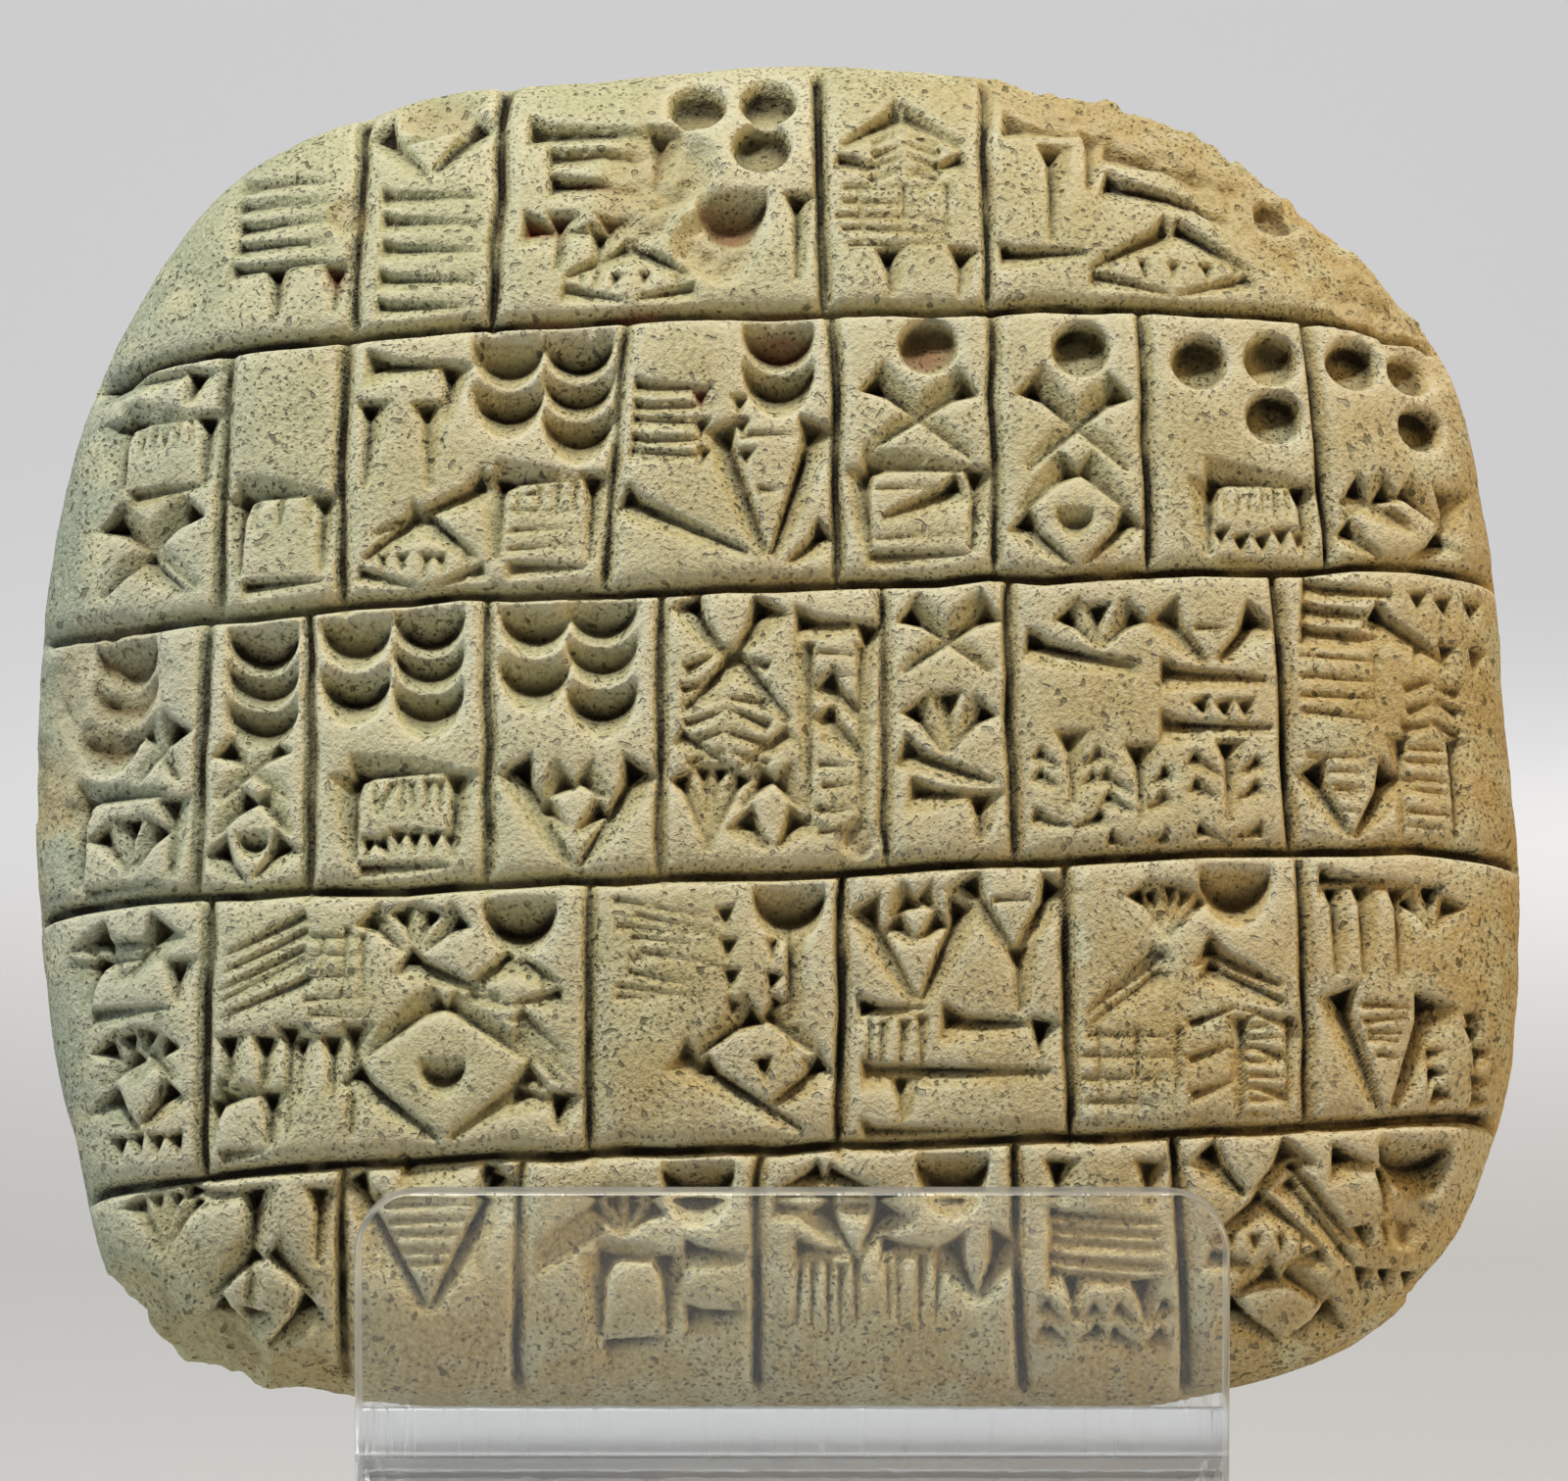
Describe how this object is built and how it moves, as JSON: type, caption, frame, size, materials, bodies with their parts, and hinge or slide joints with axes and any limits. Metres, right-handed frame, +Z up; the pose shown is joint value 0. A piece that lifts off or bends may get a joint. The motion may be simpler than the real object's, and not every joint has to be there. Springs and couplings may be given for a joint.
{
  "type": "cuneiform tablet",
  "caption": "Pillow-shaped clay tablet with ruled registers of pressed strokes, standing in a cradle bent from clear acrylic strip.",
  "frame": {"origin": "middle of the bounding box's underside, on the table", "axes": "+Z up, -Y out of the inscribed face towards the viewer, +X to the viewer's right"},
  "size_m": [0.085, 0.0552, 0.0908],
  "materials": {
    "clay": "dry, fine-grained, matt",
    "clear_acrylic": "clear, polished, bright edges"
  },
  "bodies": {
    "root": {"tablet": "clay", "cradle": "clear_acrylic"}
  },
  "joints": []
}
